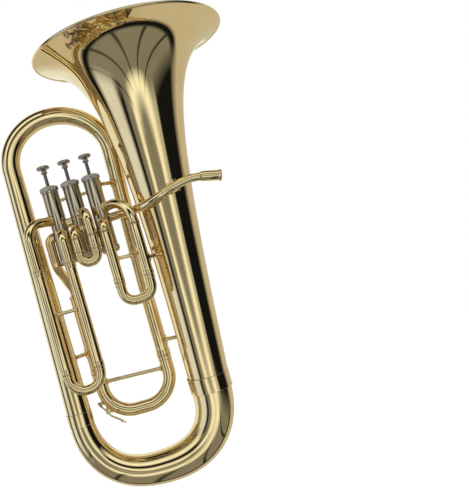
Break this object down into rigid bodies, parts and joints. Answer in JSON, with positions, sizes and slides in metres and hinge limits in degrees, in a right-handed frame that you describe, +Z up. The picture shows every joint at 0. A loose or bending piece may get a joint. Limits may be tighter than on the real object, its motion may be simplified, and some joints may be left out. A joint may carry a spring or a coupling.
{
  "type": "euphonium",
  "caption": "Upright valved brass instrument of tenor-tuba pitch: conical tubing folded round a piston valve block, with pull slides, a water key and a flared bell.",
  "frame": {"origin": "under the middle of the instrument's box, on the level plane that touches the bottom bow", "axes": "+Z up towards the bell's mouth, +X from the left branch towards the bell branch, +Y from the valve-slide side towards the tuning-slide side"},
  "size_m": [0.3732, 0.28, 0.6346],
  "materials": {
    "lacquered_brass": "clear-lacquered, polished",
    "nickel_silver": "polished nickel",
    "felt": "pressed felt",
    "cork": "cork",
    "spring_steel": "drawn wire"
  },
  "bodies": {
    "horn": {"bell_flare": "lacquered_brass", "bell_throat": "lacquered_brass", "bell_stem": "lacquered_brass", "bell_rim_wire": "lacquered_brass", "bell_ferrule": "lacquered_brass", "bottom_bow": "lacquered_brass", "left_ferrule": "lacquered_brass", "left_branch": "lacquered_brass", "top_bow": "lacquered_brass", "return_leg": "lacquered_brass", "tuning_outer_tubes": "lacquered_brass", "valve_link_tube": "lacquered_brass", "leadpipe": "lacquered_brass", "mouthpiece_receiver": "lacquered_brass", "valve_casing_1": "lacquered_brass", "valve_casing_2": "lacquered_brass", "valve_casing_3": "lacquered_brass", "valve_top_cap_1": "nickel_silver", "valve_top_cap_2": "nickel_silver", "valve_top_cap_3": "nickel_silver", "valve_bottom_cap_1": "nickel_silver", "valve_bottom_cap_2": "nickel_silver", "valve_bottom_cap_3": "nickel_silver", "inter_valve_tubes": "lacquered_brass", "valve_section_struts": "lacquered_brass", "first_slide_branches": "lacquered_brass", "second_slide_branches": "lacquered_brass", "third_slide_branches": "lacquered_brass", "first_slide_outer_tubes": "lacquered_brass", "second_slide_outer_tubes": "lacquered_brass", "third_slide_outer_tubes": "lacquered_brass", "slide_tube_bands": "lacquered_brass", "tuning_braces": "lacquered_brass", "return_leg_braces": "lacquered_brass", "bell_front_braces": "lacquered_brass", "valve_spring_1": "spring_steel", "valve_spring_2": "spring_steel", "valve_spring_3": "spring_steel"},
    "valve_1": {"piston_1": "nickel_silver", "valve_stem_1": "nickel_silver", "finger_button_1": "nickel_silver", "valve_felts_1": "felt"},
    "valve_2": {"piston_2": "nickel_silver", "valve_stem_2": "nickel_silver", "finger_button_2": "nickel_silver", "valve_felts_2": "felt"},
    "valve_3": {"piston_3": "nickel_silver", "valve_stem_3": "nickel_silver", "finger_button_3": "nickel_silver", "valve_felts_3": "felt"},
    "first_slide": {"first_slide_crook": "lacquered_brass"},
    "second_slide": {"second_slide_crook": "lacquered_brass"},
    "third_slide": {"third_slide_crook": "lacquered_brass"},
    "main_tuning_slide": {"tuning_crook": "lacquered_brass", "tuning_crook_rod": "lacquered_brass", "water_key_bracket": "lacquered_brass", "water_key_pin": "lacquered_brass", "water_key_spring": "spring_steel"},
    "water_key": {"water_key_lever": "lacquered_brass", "water_key_cork": "cork"}
  },
  "joints": [
    {"name": "valve_1_press", "type": "slide", "parent": "horn", "child": "valve_1", "axis": [0, 0, -1], "range_m": [0, 0.016], "stiffness_N_per_m": 100, "springref_m": -0.025, "deforming": ["valve_spring_1"]},
    {"name": "valve_2_press", "type": "slide", "parent": "horn", "child": "valve_2", "axis": [0, 0, -1], "range_m": [0, 0.016], "stiffness_N_per_m": 100, "springref_m": -0.025, "deforming": ["valve_spring_2"]},
    {"name": "valve_3_press", "type": "slide", "parent": "horn", "child": "valve_3", "axis": [0, 0, -1], "range_m": [0, 0.016], "stiffness_N_per_m": 100, "springref_m": -0.025, "deforming": ["valve_spring_3"]},
    {"name": "first_slide_pull", "type": "slide", "parent": "horn", "child": "first_slide", "axis": [0, 0, -1], "range_m": [0, 0.06]},
    {"name": "second_slide_pull", "type": "slide", "parent": "horn", "child": "second_slide", "axis": [0, 0, -1], "range_m": [0, 0.015]},
    {"name": "third_slide_pull", "type": "slide", "parent": "horn", "child": "third_slide", "axis": [0, 0, -1], "range_m": [0, 0.09]},
    {"name": "main_tuning_pull", "type": "slide", "parent": "horn", "child": "main_tuning_slide", "axis": [0, 0, -1], "range_m": [0, 0.045]},
    {"name": "water_key_press", "type": "hinge", "parent": "main_tuning_slide", "child": "water_key", "pos_m": [-0.13116, 0.034, 0.1156], "axis": [0, -1, 0], "range_deg": [0, 12], "stiffness_Nm_per_rad": 0.06, "springref_deg": -17.19, "deforming": ["water_key_spring"]}
  ]
}
